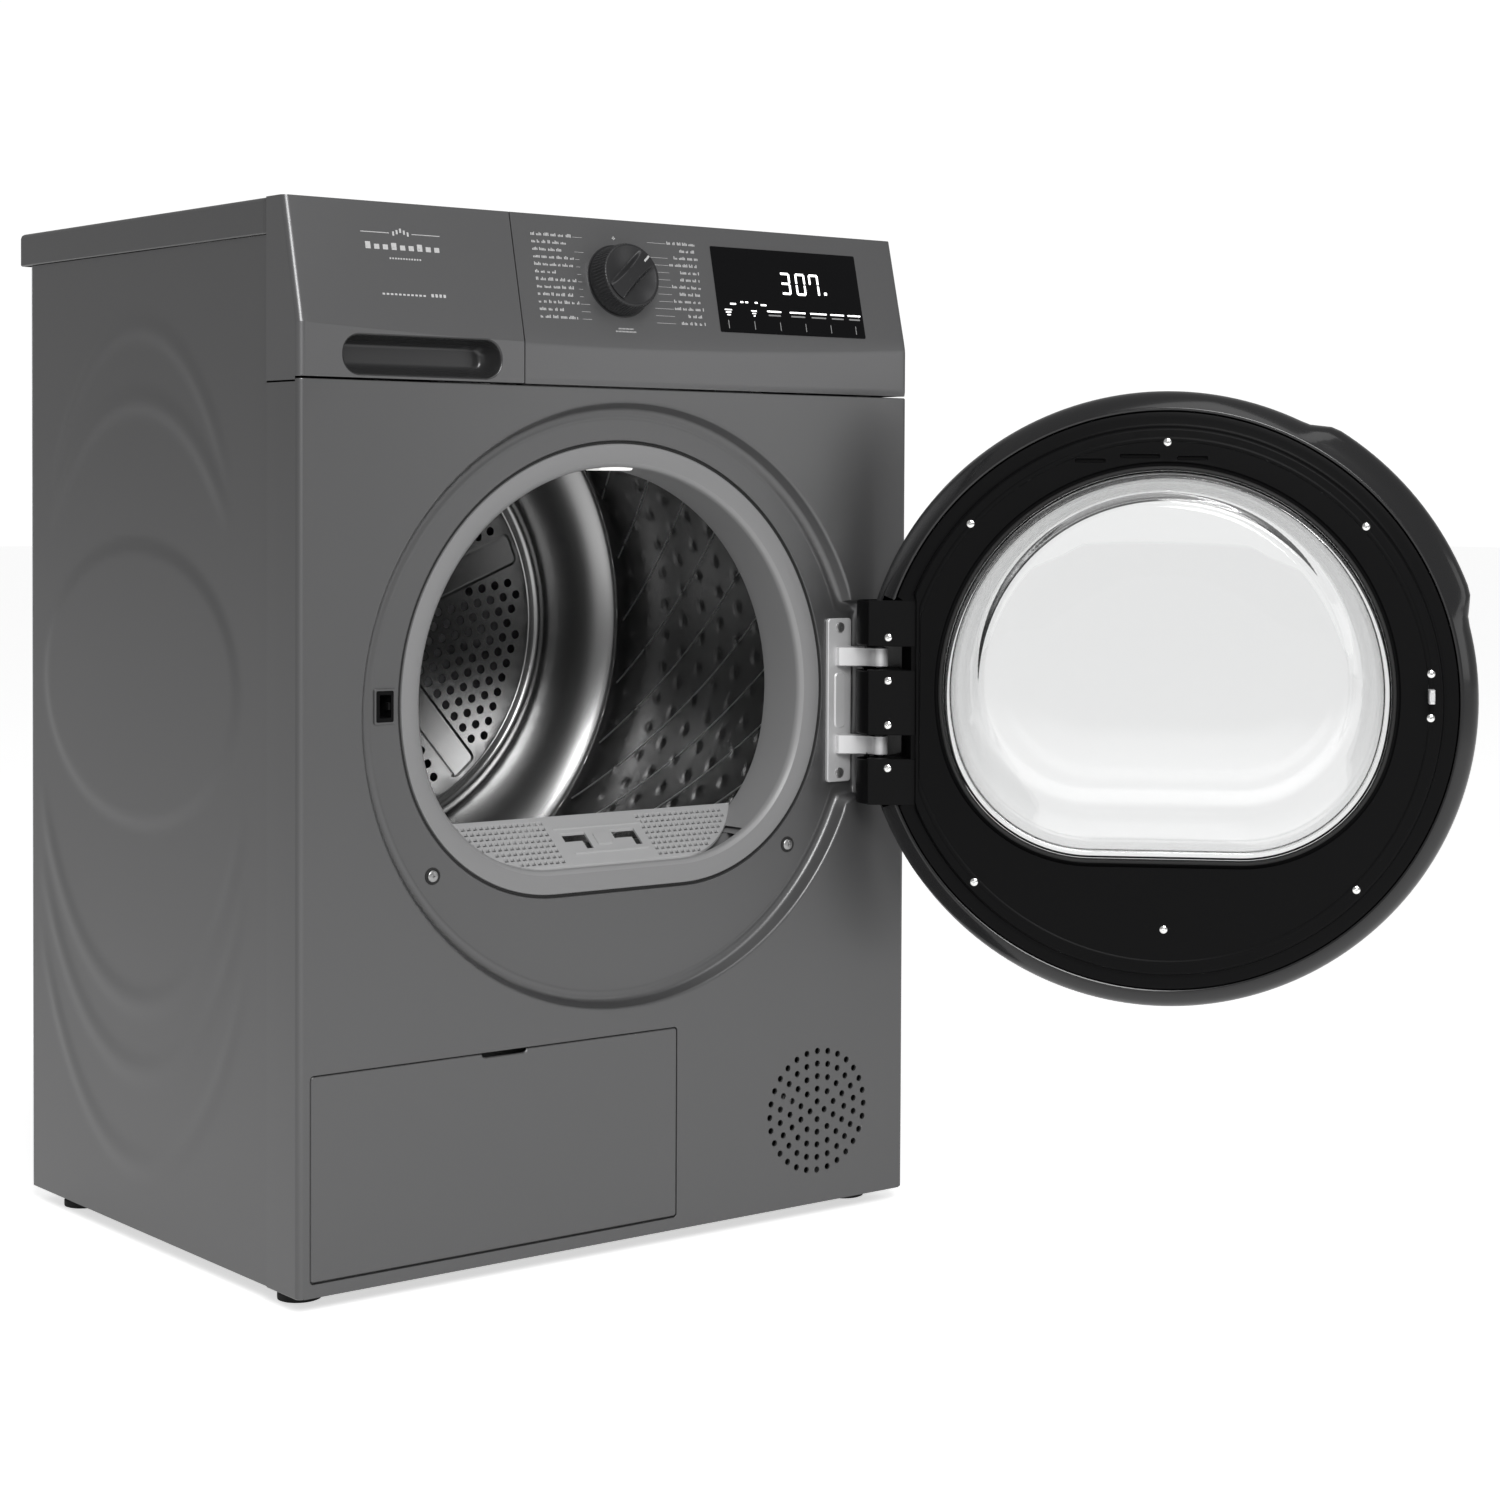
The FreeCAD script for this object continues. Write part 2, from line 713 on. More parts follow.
def door_tab(x0, y0, y1, grow=0.0):
    z = (hinge_z - door_tab_height / 2 - grow, hinge_z + door_tab_height / 2 + grow)
    return box((x0, pivot_x + door_tab_reach + grow), (y0, y1), z)


def swing_clearance():
    """What turns about the pivot must stay within this radius beyond it, so that it clears the panel."""
    reach = abs(pivot_y) - 1.0
    beyond = box((pivot_x, pivot_x + 60), (-80, 60), (0, 900))
    return beyond.cut(cyl_z(pivot_x, pivot_y, reach, 0, 900))


def door_outer_frame():
    r, w = door_radius, door_wall
    hole = door_window_radius
    outer = [(hole, door_front + 2), (hole + 12, door_front), (r - 22, door_front),
        (r - 8, door_front + 4), (r, door_edge_front), (r, door_edge_back), (door_back_radius, door_back),
        (hole, door_back)]
    inner = [(hole + w, door_front + 2 + w), (hole + 12, door_front + w), (r - 23, door_front + w),
        (r - 8 - w, door_front + 5 + w), (r - w, door_edge_front + 1), (r - w, door_edge_back - 1),
        (door_back_radius - w, door_back - 1), (door_back_radius - w, 1), (hole + w, 1)]
    shell = turned(outer, door_x, door_z).cut(turned(inner, door_x, door_z))
    grip = turned([(r - 10, door_front + 3), (handle_radius - 3, door_front + 3),
        (handle_radius, door_front + 6), (handle_radius, handle_back), (r - 2, handle_back + 8),
        (r - 2, handle_back + 8 - w), (handle_radius - w, handle_back - w),
        (handle_radius - w, door_front + 8), (r - 10, door_front + 6)], door_x, door_z)
    a0 = math.radians(180 - handle_from_deg)
    a1 = math.radians(180 - handle_to_deg)
    far = 400.0
    sector = prism([(door_x, -80, door_z),
        (door_x + far * math.cos(a0), -80, door_z + far * math.sin(a0)),
        (door_x + far * math.cos(a1), -80, door_z + far * math.sin(a1))], (0, 160, 0))
    ledge = turned([(hole - 3, window_ledge), (hole + 1, window_ledge), (hole + 1, window_ledge + 3),
        (hole - 3, window_ledge + 3)], door_x, door_z)
    frame = fuse(shell, grip.common(sector), ledge)
    frame = frame.cut(swing_clearance())
    tab_room = door_tab(pivot_x - door_tab_chord - 7, tab_back - 0.2, 20, 0.3)
    return frame.cut(arm_sweep(0)).cut(hinge_room()).cut(tab_room)


def hinge_room():
    """Room for the hinge bracket inside the door."""
    return box((pivot_x - 37, pivot_x + 12), (pivot_y - 13, 10), (hinge_z - 66, hinge_z + 66))


def door_window():
    r = door_window_radius - piece_gap
    back = window_ledge - 0.1
    return turned([(0, back - window_thick), (r, back - window_thick), (r, back), (0, back)], door_x,
        door_z)


def door_inner_frame():
    r = door_back_radius - door_wall - 0.3
    step = rim_step_radius
    back = inner_face - inner_wall
    plate = turned([(0, back), (step - 2, back), (step + 1.5, door_back), (r, door_back),
        (r, door_back + 1.3), (step + 2, tab_back + inner_wall - 0.3), (step, inner_face),
        (0, inner_face)], door_x, door_z)
    hole = d_prism(3.0, -20, 20, bowl_z, bowl_radius, bowl_chord, bowl_corner)
    skirt = turned([(step - 4, back + 0.8), (step - 2.5, back + 0.8), (step - 2.5, -24), (step - 4, -24)],
        door_x, door_z)
    skirt = skirt.cut(box((latch_x - 8, latch_x + 8), (-30, back + 1), (latch_z - 27, latch_z + 27)))
    bracket_room = box((pivot_x - 35, pivot_x + 30), (pivot_y - 10, tab_back),
        (hinge_z - 65, hinge_z + 65))
    frame = fuse(plate, skirt).cut(hole).cut(bracket_room)
    chord_x = pivot_x - door_tab_chord
    tab = door_tab(chord_x - 6, tab_back, tab_back + inner_wall)
    frame = fuse(frame, tab).cut(swing_clearance()).cut(arm_sweep(0))
    shanks = [cyl_y(x, z, screw_shank + 0.1, -30, 10)
        for x, z in door_screw_places() + latch_screw_places() + hinge_door_screws()]
    slot = box((latch_x - hook_width / 2, latch_x + hook_width / 2), (-10, 10),
        (latch_z - hook_height / 2, latch_z + hook_height / 2))
    return frame.cut(group(shanks)).cut(slot)


def door_screw_places():
    rim = [(0.0, 219.0), (-166.0, 149.0), (166.0, 149.0), (-161.0, -156.0), (161.0, -156.0),
        (0.0, -193.0)]
    places = [(door_x + dx, door_z + dz) for dx, dz in rim]
    return places


def hinge_door_screws():
    return [(pivot_x - 9.5, hinge_z + dz) for dz in (-56.0, -19.0, 19.0, 56.0)]


def latch_screw_places():
    return [(latch_x, latch_z - 18.5), (latch_x, latch_z + 18.5)]


def bowl(grow):
    base = d_wire(recess_x, bowl_z, bowl_radius + grow, bowl_chord + grow, bowl_corner + grow, inner_face)
    end = d_wire(recess_x, bowl_end_z, bowl_end_radius + grow, bowl_end_chord + grow,
        bowl_end_corner + grow, bowl_end + min(grow, 0))
    return Part.makeLoft([base, end], True, True)


def door_glass():
    flange = d_prism(bowl_flange, inner_face - inner_wall - 4, inner_face - inner_wall, bowl_z,
        bowl_radius, bowl_chord, bowl_corner)
    collar = d_prism(0, inner_face - inner_wall, inner_face, bowl_z, bowl_radius, bowl_chord, bowl_corner)
    hollow = d_prism(-bowl_wall, -30, inner_face, bowl_z, bowl_radius, bowl_chord, bowl_corner)
    return fuse(flange, collar, bowl(0)).cut(hollow).cut(bowl(-bowl_wall))


def door_seal():
    outer = d_prism(seal_inner + seal_width, inner_face, seal_end, bowl_z, bowl_radius, bowl_chord,
        bowl_corner)
    return outer.cut(d_prism(seal_inner, inner_face - 1, seal_end + 1, bowl_z, bowl_radius, bowl_chord,
        bowl_corner))


def hinge_bracket():
    block = box((pivot_x - 34, pivot_x + 9), (pivot_y - 9, tab_back - 0.2), (hinge_z - 64, hinge_z + 64))
    block = block.cut(arm_sweep(0.2))
    block = block.cut(cyl_z(pivot_x, pivot_y, hinge_pin_radius, 0, 900))
    holes = [cyl_y(x, z, screw_shank + 0.1, -14, 5) for x, z in hinge_door_screws()]
    pins = []
    for s in (-1, 1):
        mid = hinge_z + s * hinge_arm_spread
        pins.append(cyl_z(pivot_x, pivot_y, hinge_pin_radius, mid - 18, mid + 18))
    return fuse(block.cut(group(holes)), *pins)


def door_hook():
    stem = box((latch_x - hook_width / 2, latch_x + hook_width / 2),
        (inner_face - inner_wall - 5, inner_face + hook_reach),
        (latch_z - hook_height / 2, latch_z + hook_height / 2))
    notch = box((latch_x - hook_width, latch_x - 0.8),
        (inner_face + hook_reach - 9, inner_face + hook_reach - 4), (latch_z - 4.5, latch_z + 4.5))
    foot = box((latch_x - 5, latch_x + 5), (inner_face - inner_wall - 8, inner_face - inner_wall),
        (latch_z - 24, latch_z + 24))
    holes = [cyl_y(x, z, screw_shank + 0.1, -10, 5) for x, z in latch_screw_places()]
    return fuse(stem.cut(notch), foot).cut(group(holes))


def screw(x, z, face, length):
    """Pan-head screw driven towards -Y, its head on the given face."""
    head = cyl_y(x, z, door_screw_radius, face, face + 1.6)
    return fuse(head, cyl_y(x, z, screw_shank, face - length, face))


def door_screws():
    screws = [screw(x, z, inner_face, 7.5) for x, z in door_screw_places() + latch_screw_places()]
    screws += [screw(x, z, tab_back + inner_wall, 10.0) for x, z in hinge_door_screws()]
    return group(screws)


# ---------------------------------------------------------------- drum
def drum_shell():
    r, w = drum_radius, drum_sheet
    return turned([(r, drum_front + w), (drum_mouth_radius, drum_front + w),
        (drum_mouth_radius, drum_front), (r + w, drum_front), (r + w, drum_end), (r, drum_end)], 0,
        drum_z)


def drum_rear_wall():
    w = drum_sheet
    face = [(drum_outer, drum_end), (drum_radius - 1, drum_end), (262, 438), (240, 444), (222, 446),
        (209, 443), (204, 434), (drum_disc_radius + 3, 436), (drum_disc_radius, drum_back),
        (0, drum_back)]
    back = [(0, drum_back + w), (drum_disc_radius + 1, drum_back + w), (drum_disc_radius + 4, 437.2),
        (203, 435.2), (208, 444.2), (222, 447.2), (240.5, 445.2), (263, 439.2), (drum_radius, 428.3),
        (drum_outer, 428.3)]
    wall = turned(face + back, 0, drum_z)
    holes = []
    for radius, count in ((60, 12), (100, 18), (140, 26), (170, 32)):
        for k in range(count):
            a = 2 * math.pi * k / count
            holes.append(cyl_y(radius * math.cos(a), drum_z + radius * math.sin(a), 4.5, drum_back - 2,
                drum_back + 3))
    return wall.cut(group(holes))


def drum_lifters():
    lifters = []
    for k in range(3):
        base = drum_radius - 0.1
        rib = prism([(-lifter_width / 2, drum_front + 8, base - 6),
            (lifter_width / 2, drum_front + 8, base - 6), (10, drum_front + 8, base - lifter_height),
            (-10, drum_front + 8, base - lifter_height)], (0, drum_end - drum_front - 24, 0))
        foot = box((-lifter_width / 2, lifter_width / 2), (drum_front + 8, drum_end - 16),
            (base - 12, base + 5))
        foot = foot.common(cyl_y(0, 0, base, 0, 500))
        rib = fuse(rib, foot)
        rib.rotate(vec(0, 0, 0), vec(0, 1, 0), 90 - lifter_turn - 120 * k)
        rib.translate(vec(0, 0, drum_z))
        lifters.append(rib)
    return group(lifters)


def drum_shaft():
    hub = cyl_y(0, drum_z, 46, drum_back + drum_sheet, drum_back + drum_sheet + 4)
    return fuse(hub,
        cyl_y(0, drum_z, drum_shaft_radius, drum_back,
            472).cut(cyl_y(0, drum_z, 20, drum_back - 1, drum_back + drum_sheet)))


def rear_bearing():
    bar = box((-shroud_radius + 6, shroud_radius - 6), (459, 463), (drum_z - 24, drum_z + 24))
    post = box((-24, 24), (459, 463), (drum_z - shroud_radius + 12, drum_z + shroud_radius - 12))
    hub = cyl_y(0, drum_z, bearing_radius + 5, 453, 468)
    bush = cyl_y(0, drum_z, drum_shaft_radius + running_gap, 440, 480)
    ring = tube_y(0, drum_z, shroud_radius - 2.4, shroud_radius - 8, 459, 463)
    return fuse(bar, post, hub, ring).cut(bush)


# ---------------------------------------------------------------- drive
def belt_frame():
    """Unit vector from the drum's axis to the motor's, and the belt's tangent angle."""
    dx, dz = motor_x, motor_z - drum_z
    span = math.hypot(dx, dz)
    spread = math.acos((belt_inner_drum - belt_inner_pulley) / span)
    return math.atan2(dz, dx), spread


def belt_normal(side):
    heading, spread = belt_frame()
    a = heading + side * spread
    return math.cos(a), math.sin(a)


def belt_outline(grow):
    """Region inside the open belt, grown outwards."""
    y0, y1 = belt_y - belt_width / 2, belt_y + belt_width / 2
    rd, rp = belt_inner_drum + grow, belt_inner_pulley + grow
    corners = []
    for side in (1, -1):
        nx, nz = belt_normal(side)
        pair = [(rd * nx, y0, drum_z + rd * nz), (motor_x + rp * nx, y0, motor_z + rp * nz)]
        corners += pair if side == 1 else pair[::-1]
    web = prism(corners, (0, y1 - y0, 0))
    return fuse(web, cyl_y(0, drum_z, rd, y0, y1), cyl_y(motor_x, motor_z, rp, y0, y1))


def drive_belt():
    return belt_outline(belt_thick).cut(belt_outline(0))


def idler_centre():
    nx, nz = belt_normal(-1)
    start = (belt_inner_drum * nx, drum_z + belt_inner_drum * nz)
    end = (motor_x + belt_inner_pulley * nx, motor_z + belt_inner_pulley * nz)
    off = belt_thick + touch_gap + idler_radius
    return tuple(a + (b - a) * idler_place + off * n for a, b, n in zip(start, end, (nx, nz)))


def idler_pivot():
    nx, nz = belt_normal(-1)
    cx, cz = idler_centre()
    return cx - nz * idler_arm_length, cz + nx * idler_arm_length


def idler_pulley():
    cx, cz = idler_centre()
    return tube_y(cx, cz, idler_radius, 4 + running_gap, belt_y - 7, belt_y + 7)


def idler_arm():
    cx, cz = idler_centre()
    px, pz = idler_pivot()
    y0, y1 = belt_y + 8, belt_y + 12
    nx, nz = belt_normal(-1)
    w = 7.0
    bar = prism([(cx + nx * w, y0, cz + nz * w), (px + nx * w, y0, pz + nz * w),
        (px - nx * w, y0, pz - nz * w), (cx - nx * w, y0, cz - nz * w)], (0, y1 - y0, 0))
    body = fuse(bar, cyl_y(cx, cz, w + 1, y0, y1), cyl_y(px, pz, w + 1, y0, y1),
        cyl_y(cx, cz, 4, belt_y - 9, y1))
    return body.cut(cyl_y(px, pz, 4 + running_gap, y0 - 1, y1 + 1))


def motor_housing():
    body = cyl_y(motor_x, motor_z, motor_radius, motor_from, motor_to)
    body = body.cut(cyl_y(motor_x, motor_z, rotor_radius + 1, motor_from + 14, motor_to - 14))
    body = body.cut(cyl_y(motor_x, motor_z, motor_shaft_radius + running_gap, motor_from - 1,
        motor_to + 1))
    ribs = [box((motor_x + s * 45 - 6, motor_x + s * 45 + 6), (motor_from + 8, motor_to - 8),
        (floor_low + floor_thick + 20, motor_z - 20)) for s in (-1, 1)]
    feet = [r.cut(cyl_y(motor_x, motor_z, motor_radius - 2, motor_from, motor_to)) for r in ribs]
    return fuse(body, *feet)


def motor_shaft():
    shaft = cyl_y(motor_x, motor_z, motor_shaft_radius, 44, 474)
    return fuse(shaft, cyl_y(motor_x, motor_z, rotor_radius, motor_from + 18, motor_to - 18))


def motor_pulley():
    y = belt_y
    body = fuse(cyl_y(motor_x, motor_z, pulley_radius, y - 9, y + 9),
        cyl_y(motor_x, motor_z, pulley_flange, y - 9, y - 6.5),
        cyl_y(motor_x, motor_z, pulley_flange, y + 6.5, y + 9))
    return body.cut(cyl_y(motor_x, motor_z, motor_shaft_radius, y - 10, y + 10))


def impeller(radius, y0, y1, plate_y):
    """Forward-curved fan wheel: a plate with its hub, a ring of blades and an end ring."""
    blades = []
    for k in range(blade_count):
        blade = box((radius * 0.72, radius - 0.5), (y0, y1), (-blade_thick / 2, blade_thick / 2))
        blade.rotate(vec(radius * 0.72, 0, 0), vec(0, 1, 0), 20)
        blade.rotate(vec(0, 0, 0), vec(0, 1, 0), 360.0 * k / blade_count)
        blades.append(blade)
    far = y0 if plate_y > (y0 + y1) / 2 else y1 - 2
    plate_low = plate_y - 1
    parts = [cyl_y(0, 0, radius, plate_low, plate_low + 2),
        tube_y(0, 0, radius, radius * 0.7, far, far + 2), cyl_y(0, 0, 12, y0, y1)]
    wheel = fuse(*parts, *blades)
    wheel = wheel.common(cyl_y(0, 0, radius, y0 - 1, y1 + 1)).cut(cyl_y(0, 0, motor_shaft_radius, y0 - 1,
        y1 + 1))
    wheel.translate(vec(motor_x, 0, motor_z))
    return wheel


def cooling_fan_housing():
    r = cooling_fan_radius + 5
    shell = tube_y(motor_x, motor_z, r + 3, r, 30, 92)
    back = tube_y(motor_x, motor_z, r + 3, 30, 92, 95)
    mouth = box((motor_x - r - 10, motor_x), (40, 86), (motor_z + 14, motor_z + 44))
    foot = box((motor_x - 30, motor_x + 30), (34, 90), (floor_low + floor_thick, motor_z - r + 1))
    foot = foot.cut(cyl_y(motor_x, motor_z, r + 1, 0, 100))
    return fuse(shell, back, foot).cut(mouth)


def rear_air_channel():
    x = (foot_boss - foot_x + 2, foot_x - foot_boss - 2)
    z = (floor_low + floor_thick, chamber_top)
    w = chamber_wall
    y = (chamber_back + piece_gap, 444.0)
    shell = box(x, y, z).cut(box((x[0] + w, x[1] - w), (y[0] + w, y[1] - w), (z[0] + w, z[1] - w)))
    inlet = box((x[0] + w, chamber_x[1] - w), (y[0] - 1, y[0] + w + 1), (z[0] + w, z[1] - w))
    outlet = cyl_y(motor_x, motor_z, 44, y[1] - w - 1, y[1] + 1)
    shaft = cyl_y(motor_x, motor_z, motor_shaft_radius + 1.0, y[0] - 1, y[0] + w + 1)
    r = process_fan_radius + 3
    scroll = tube_y(motor_x, motor_z, r + 2.5, r, y[1] - 1, inner_back - piece_gap)
    scroll = scroll.common(box((0, inner_half), (0, 500), (z[0], 400)))
    return fuse(shell.cut(fuse(inlet, outlet, shaft)), scroll)


# ---------------------------------------------------------------- base
def base_pan():
    bottom = box((-base_half_width, base_half_width), (base_front, base_back),
        (floor_low, floor_low + floor_thick))
    outer = box((-base_half_width, base_half_width), (base_front, base_back),
        (floor_low, base_wall_height))
    inner = box((-base_half_width + 3, base_half_width - 3), (base_front - 1, base_back + 1),
        (floor_low, base_wall_height + 1))
    rim = outer.cut(inner)
    w = chamber_wall
    chamber = box(chamber_x, (base_front, chamber_back), (floor_low, chamber_top))
    chamber = chamber.cut(box((chamber_x[0] + w, chamber_x[1] - w), (base_front - 1, chamber_back + 1),
        (floor_low + floor_thick, chamber_top - w)))
    port = box((recess_x - filter_half_width, chamber_x[1] - 2 * w), (filter_y[0] + 2, filter_y[1]),
        (chamber_top - w - 1, chamber_top + 1))
    bosses = [cyl_z(x, y, foot_boss, floor_low, foot_stem_top + 4) for x, y in foot_places()]
    cradle_x = [motor_x - 45, motor_x + 45]
    cradles = [box((x - 8, x + 8), (motor_from + 6, motor_to - 6),
        (floor_low, floor_low + floor_thick + 20)) for x in cradle_x]
    px, pz = idler_pivot()
    post = box((px - 9, px + 9), (belt_y + 14, belt_y + 20), (floor_low, pz + 9))
    stud = cyl_y(px, pz, 4, belt_y + 7, belt_y + 15)
    ears = [box((x - 2, x + 2), (flap_pivot_y - 5, base_front + 4), (flap_pivot_z - 5, flap_pivot_z + 6))
        for x in flap_ear_places()]
    ears += [box((x - 2, x + 2), (base_front, base_front + 4), (floor_low, flap_pivot_z))
        for x in flap_ear_places()]
    pan = fuse(bottom, rim, chamber, *bosses, *cradles, post, stud, *ears).cut(port)
    stems = [cyl_z(x, y, foot_stem + running_gap, floor_low - 1, foot_stem_top + 1)
        for x, y in foot_places()]
    sockets = [cyl_x(flap_pivot_y, flap_pivot_z, flap_pin_radius + running_gap, x - 3, x + 3)
        for x in flap_ear_places()]
    pivots = [cyl_y(x, lever_z, lever_pin_radius + running_gap, 0, 40) for x in lever_x]
    notch_y = (wrap_depth - piece_gap, wrap_depth + sheet + 2 * piece_gap)
    notches = [box(sorted((s * (inner_half - flange_width - piece_gap), s * half_width)), notch_y,
        (0, 60)) for s in (-1, 1)]
    return pan.cut(group(stems + sockets + pivots + notches))


def flap_ear_places():
    return [flap_x[0] + 14.0, flap_x[1] - 14.0]


def foot_places():
    return [(s * foot_x, y) for y in (foot_front, foot_back) for s in (-1, 1)]


def foot(x, y):
    pad = cyl_z(x, y, foot_radius, 0, foot_pad - 3)
    cap = Part.makeCone(foot_radius, foot_radius - 4, 3, vec(x, y, foot_pad - 3))
    return fuse(pad, cap, cyl_z(x, y, foot_stem, foot_pad, foot_stem_top))


def service_flap():
    g = flap_gap
    x = (flap_x[0] + g, flap_x[1] - g)
    z = (flap_z[0] + 1.6 * g, flap_z[1] - g)
    plate = rounded(x, z, flap_corner - g, 0, flap_thick)
    notch = box((flap_slot_x - flap_slot_width / 2, flap_slot_x + flap_slot_width / 2), (-1, 5),
        (flap_z[1] - 5, flap_z[1] + 1))
    parts = [plate]
    for ear, s in zip(flap_ear_places(), (1, -1)):
        x0 = sorted((ear + s * 2.5, ear + s * 5.5))
        arm = box(x0, (flap_thick, flap_pivot_y + 4), (flap_pivot_z - 4, flap_pivot_z + 4))
        pin = cyl_x(flap_pivot_y, flap_pivot_z, flap_pin_radius, min(ear - s * 2, ear + s * 3),
            max(ear - s * 2, ear + s * 3))
        parts += [arm, pin]
    return fuse(*parts).cut(notch)


def condenser():
    gap = 1.5
    x = (chamber_x[0] + chamber_wall + gap, chamber_x[1] - chamber_wall - gap)
    z = (floor_low + floor_thick + gap, chamber_top - chamber_wall - gap)
    front = box(x, (base_front + 4, base_front + 7), z)
    for lx in lever_x:
        front = front.cut(cyl_y(lx, lever_z, lever_pin_radius + running_gap, 0, 60))
    core = box((x[0] + 4, x[1] - 4), (base_front + 7, chamber_back - 8), (z[0] + 3, z[1] - 3))
    rows = []
    level = z[0] + 12
    while level < z[1] - 14:
        rows.append(box((x[0] + 3, x[1] - 3), (base_front + 62, chamber_back - 20), (level, level + 6)))
        level += 14
    grip = box((sum(x) / 2 - 45, sum(x) / 2 + 45), (base_front + 3, base_front + 24),
        (lever_z - 14, lever_z + 14))
    return fuse(front, core.cut(group(rows))).cut(grip)


def lever(x):
    y0 = lever_y
    hub = cyl_y(x, lever_z, lever_radius, y0, y0 + lever_thick)
    bar = box((x - 4.5, x + 4.5), (y0, y0 + lever_thick),
        (lever_z - lever_length, lever_z + lever_length))
    return fuse(hub, bar, cyl_y(x, lever_z, lever_pin_radius, y0, base_front + 6.5))


def condensate_pump():
    x, z = spigot_x, spigot_z
    case = cyl_z(hose_x + 26, 459, 13, floor_low + floor_thick, 74)
    neck_end_y = cabinet_depth + spigot_neck_length
    spigot = fuse(tube_y(x, z, spigot_radius, spigot_bore, neck_end_y, cabinet_depth + spigot_length),
        tube_y(x, z, spigot_neck_radius, spigot_bore, 470, neck_end_y),
        tube_y(x, z, spigot_radius + 2, spigot_bore, 452, cabinet_depth - 2))
    bridge = box((hose_x + 26, x + 6), (450, 466), (62, 74))
    riser = box((x - 7, x + 7), (450, 464), (62, z + 8)).cut(cyl_y(x, z, spigot_bore, 440, 500))
    outlet = box((hose_x - 6, hose_x + 27), (458, 470), (62, 74))
    nozzle = cyl_z(hose_x, hose_y, 3.2, 74, hose_low + 8)
    return fuse(case, bridge, riser, spigot, outlet, nozzle,
        cyl_z(hose_x, hose_y, 6, 74, hose_low)).cut(cyl_z(hose_x, hose_y, 2, 70, 200))


def condensate_hose():
    """Rises behind the drum in the left rear corner and turns forward to the tank's tray."""
    end_y = tray_back + 6
    low = vec(hose_x, hose_y, hose_low)
    start = vec(hose_x, hose_y, hose_high - hose_bend / 1.6)
    bend = hose_bend / 1.6
    stop = vec(hose_x, hose_y - bend, hose_high)
    k = bend * (1 - math.sqrt(0.5))
    mid = vec(hose_x, hose_y - k, hose_high - k)
    run = [Part.makeLine(low, start), Part.Arc(start, mid, stop).toShape(),
        Part.makeLine(stop, vec(hose_x, end_y - 5, hose_high))]
    path = Part.Wire(run)

    def swept(radius):
        ring = Part.Wire([Part.makeCircle(radius, low, vec(0, 0, 1))])
        return path.makePipeShell([ring], True, False)

    return swept(hose_radius).cut(swept(hose_bore))


# ---------------------------------------------------------------- water tank
def tank_prism(grow, y0, y1):
    """The tank's section: square to the side and the top, sloped to clear the drum."""
    points = [(tank_left, tank_low), (tank_bend_x, tank_low), (tank_right, tank_slope_z),
        (tank_right, tank_top), (tank_left, tank_top)]
    wire = Part.makePolygon([vec(x, y0, z) for x, z in points + points[:1]])
    if grow:
        wire = wire.makeOffset2D(grow, 2)
    return Part.Face(wire).extrude(vec(0, y1 - y0, 0))


def water_tank():
    front = grip_depth + console_wall
    w = tank_wall
    body = tank_prism(0, front, tank_back).cut(tank_prism(-w, front + w, tank_back - w))
    port = cyl_z(tank_left + 20, tank_back - 20, 9, tank_top - w - 1, tank_top + 1)
    return body.cut(port)


def tank_tray():
    gap, w = tray_gap, tray_wall
    tray = tank_prism(gap + w, tray_front, tray_back).cut(tank_prism(gap, tray_front - 1, tray_back - w))
    inlet = cyl_y(hose_x, hose_high, hose_bore, tray_back - 4, tray_back + 2)
    return tray.cut(inlet)


# ---------------------------------------------------------------- rear fittings
def heater():
    x = (150.0, 270.0)
    y = (cabinet_depth + 1.0, cabinet_depth + duct_depth - duct_sheet - 0.8)
    z = (190.0, 300.0)
    frame = box(x, y, z).cut(box((x[0] + 4, x[1] - 4), (y[0] - 1, y[1] + 1), (z[0] + 4, z[1] - 4)))
    middle = sum(y) / 2
    rods = [cyl_x(middle, z[0] + 14 + 20 * k, 3.2, x[0] + 3, x[1] - 3) for k in range(5)]
    lug = box((x[0] + 10, x[0] + 30), (cabinet_depth, y[0] + 1), (z[0], z[0] + 4))
    return fuse(frame, *rods, lug)


def mains_gland():
    r = gland_radius
    body = fuse(cyl_y(gland_x, gland_z, r, cabinet_depth, cabinet_depth + 8),
        cyl_y(gland_x, gland_z, r - 4, cabinet_depth - 8, cabinet_depth + 1),
        tube_y(gland_x, gland_z, r, r - 4.5, cabinet_depth - 8, cabinet_depth - 4))
    return body.cut(cyl_y(gland_x, gland_z, gland_bore, cabinet_depth - 10, cabinet_depth + 10))


def cabinet_screws():
    screws = []
    for s in (-1, 1):
        for z in rear_screw_heights():
            x = s * (inner_half - 8)
            screws.append(fuse(cyl_y(x, z, screw_head, cabinet_depth, cabinet_depth + screw_head_height),
                cyl_y(x, z, screw_shank, cabinet_depth - 9, cabinet_depth)))
    for x, z in recess_screws():
        screws.append(fuse(Part.makeSphere(5.2,
            vec(x, recess_depth, z)).common(box((x - 9, x + 9), (recess_depth - 9, recess_depth),
                (z - 9, z + 9))), cyl_y(x, z, screw_shank, recess_depth, recess_depth + 12)))
    front = recess_depth - hinge_plate_thick
    for x, z in hinge_screw_places():
        screws.append(fuse(cyl_y(x, z, screw_head + 0.6, front - screw_head_height, front),
            cyl_y(x, z, screw_shank, front, recess_depth + 10)))
    return group(screws)


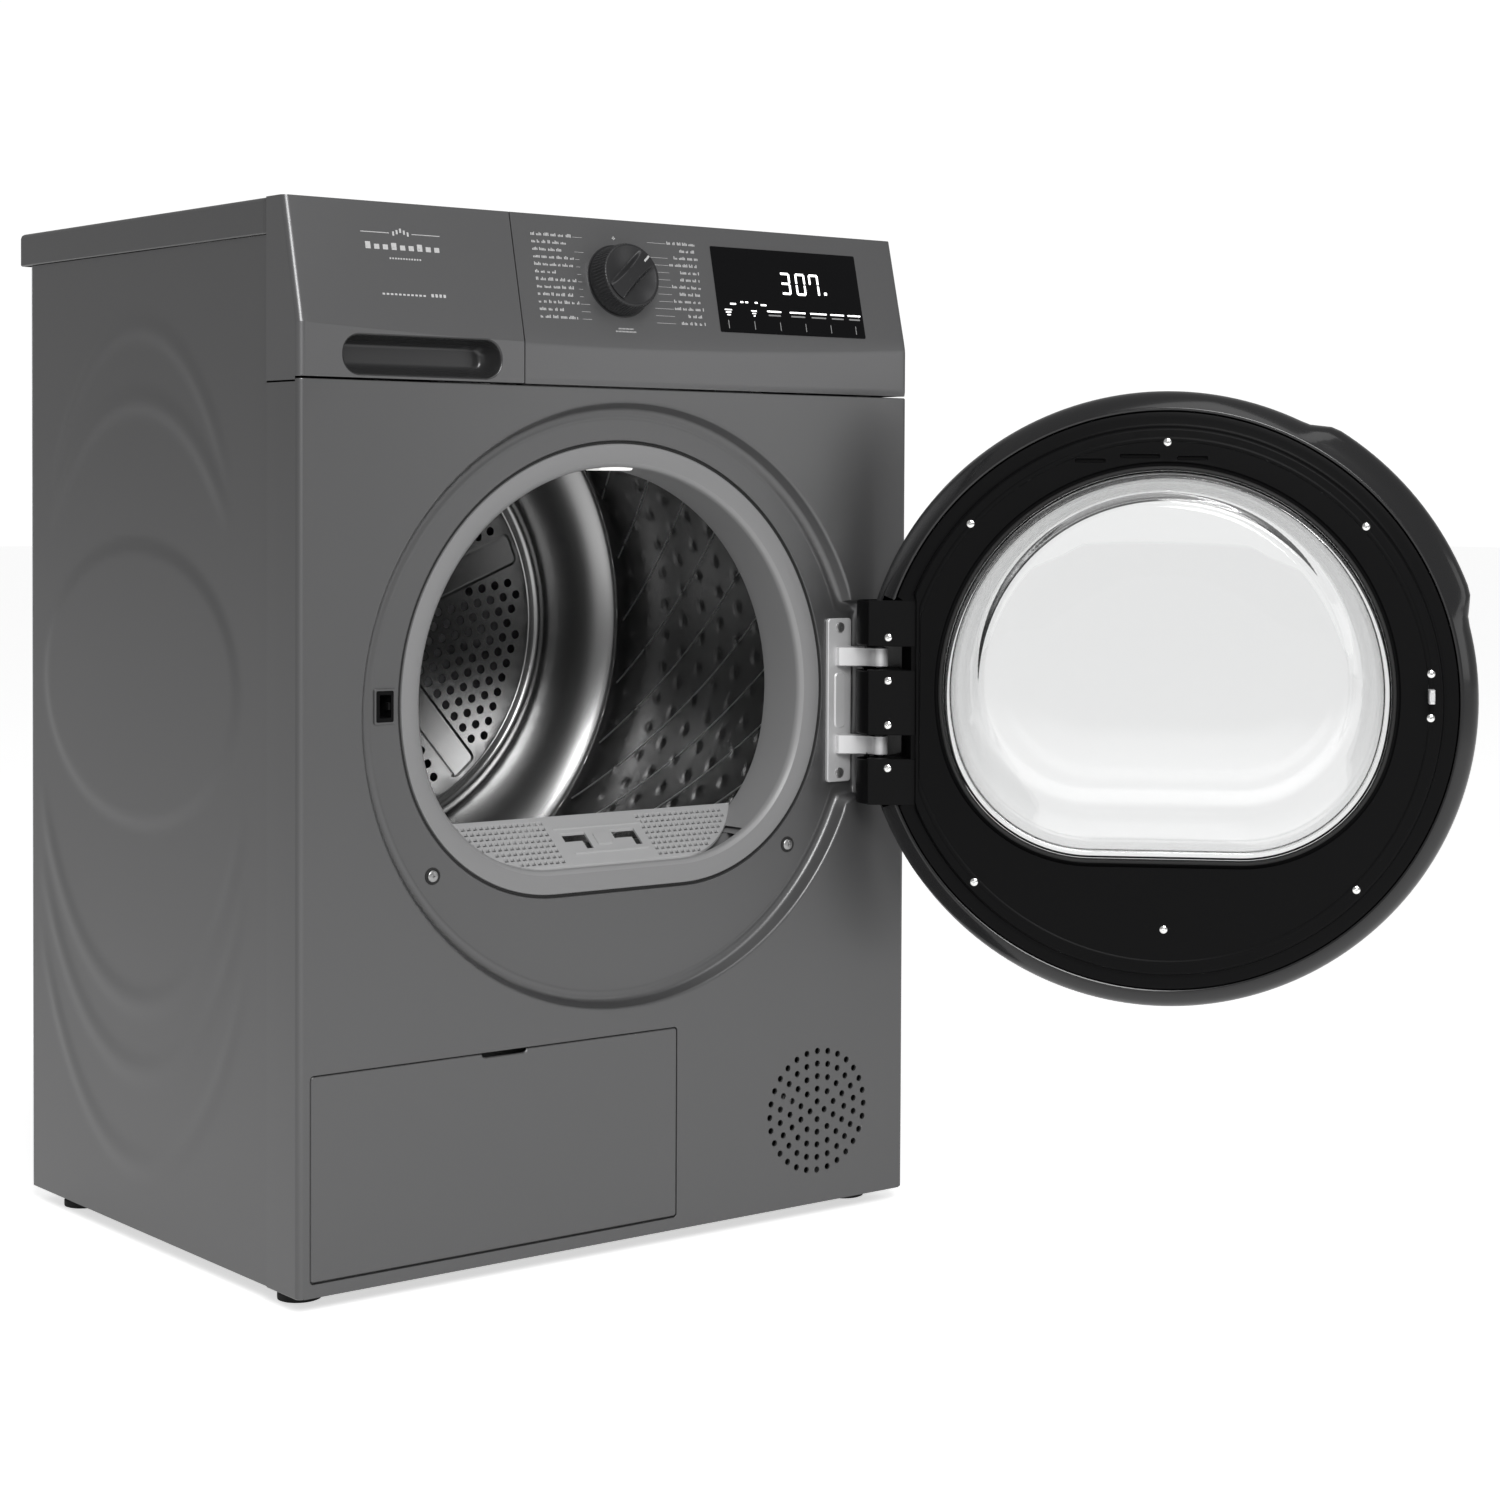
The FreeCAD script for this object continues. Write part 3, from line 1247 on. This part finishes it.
# ---------------------------------------------------------------- all pieces
pieces = {
    "base_pan": base_pan(),
    "side_panel_left": side_panel(-1),
    "side_panel_right": side_panel(1),
    "rear_panel": rear_panel(),
    "rear_duct_cover": rear_duct_cover(),
    "top_cover": top_cover(),
    "front_panel": front_panel(),
    "console_fascia": console_fascia(),
    "display_glass": display_glass(),
    "control_board": control_board(),
    "knob_encoder": knob_encoder(),
    "front_bulkhead": front_bulkhead(),
    "front_felt_seal": front_felt_seal(),
    "rear_bearing_bracket": rear_bearing(),
    "heater": heater(),
    "lamp_lens": lamp_lens(),
    "latch_receptacle": latch_receptacle(),
    "motor_housing": motor_housing(),
    "cooling_fan_housing": cooling_fan_housing(),
    "rear_air_channel": rear_air_channel(),
    "condenser": condenser(),
    "condensate_pump": condensate_pump(),
    "condensate_hose": condensate_hose(),
    "tank_tray": tank_tray(),
    "mains_gland": mains_gland(),
    "hinge_plate": hinge_plate(),
    "drive_belt": drive_belt(),
    "cabinet_screws": cabinet_screws(),
    "drum_shell": drum_shell(),
    "drum_rear_wall": drum_rear_wall(),
    "drum_lifters": drum_lifters(),
    "drum_shaft": drum_shaft(),
    "motor_shaft": motor_shaft(),
    "motor_pulley": motor_pulley(),
    "cooling_impeller": impeller(cooling_fan_radius, 48, 86, 84),
    "process_impeller": impeller(process_fan_radius, 448, 472, 470),
    "idler_arm": idler_arm(),
    "idler_pulley": idler_pulley(),
    "knob": knob(),
    "drawer_front": drawer_front(),
    "water_tank": water_tank(),
    "service_flap": service_flap(),
    "condenser_lever_left": lever(lever_x[0]),
    "condenser_lever_right": lever(lever_x[1]),
    "lint_filter_cover": lint_filter_cover(),
    "lint_filter_screen": lint_filter_screen(),
}
for side, (x, z) in zip(("left", "right"), roller_places()):
    pieces["drum_roller_" + side] = tube_y(x, z, roller_radius, roller_pin_radius + running_gap,
        roller_y - roller_width / 2, roller_y + roller_width / 2)
for place, (x, y) in zip(("front_left", "front_right", "rear_left", "rear_right"), foot_places()):
    pieces["foot_" + place] = foot(x, y)

door_pieces = {
    "door_outer_frame": door_outer_frame(),
    "door_window": door_window(),
    "door_inner_frame": door_inner_frame(),
    "door_glass": door_glass(),
    "door_seal": door_seal(),
    "door_hinge_bracket": hinge_bracket(),
    "door_hook": door_hook(),
    "door_screws": door_screws(),
}
for name, shape in door_pieces.items():
    pieces[name] = open_door(shape)

for name, shape in pieces.items():
    save(name, shape)
print(len(pieces), "pieces")
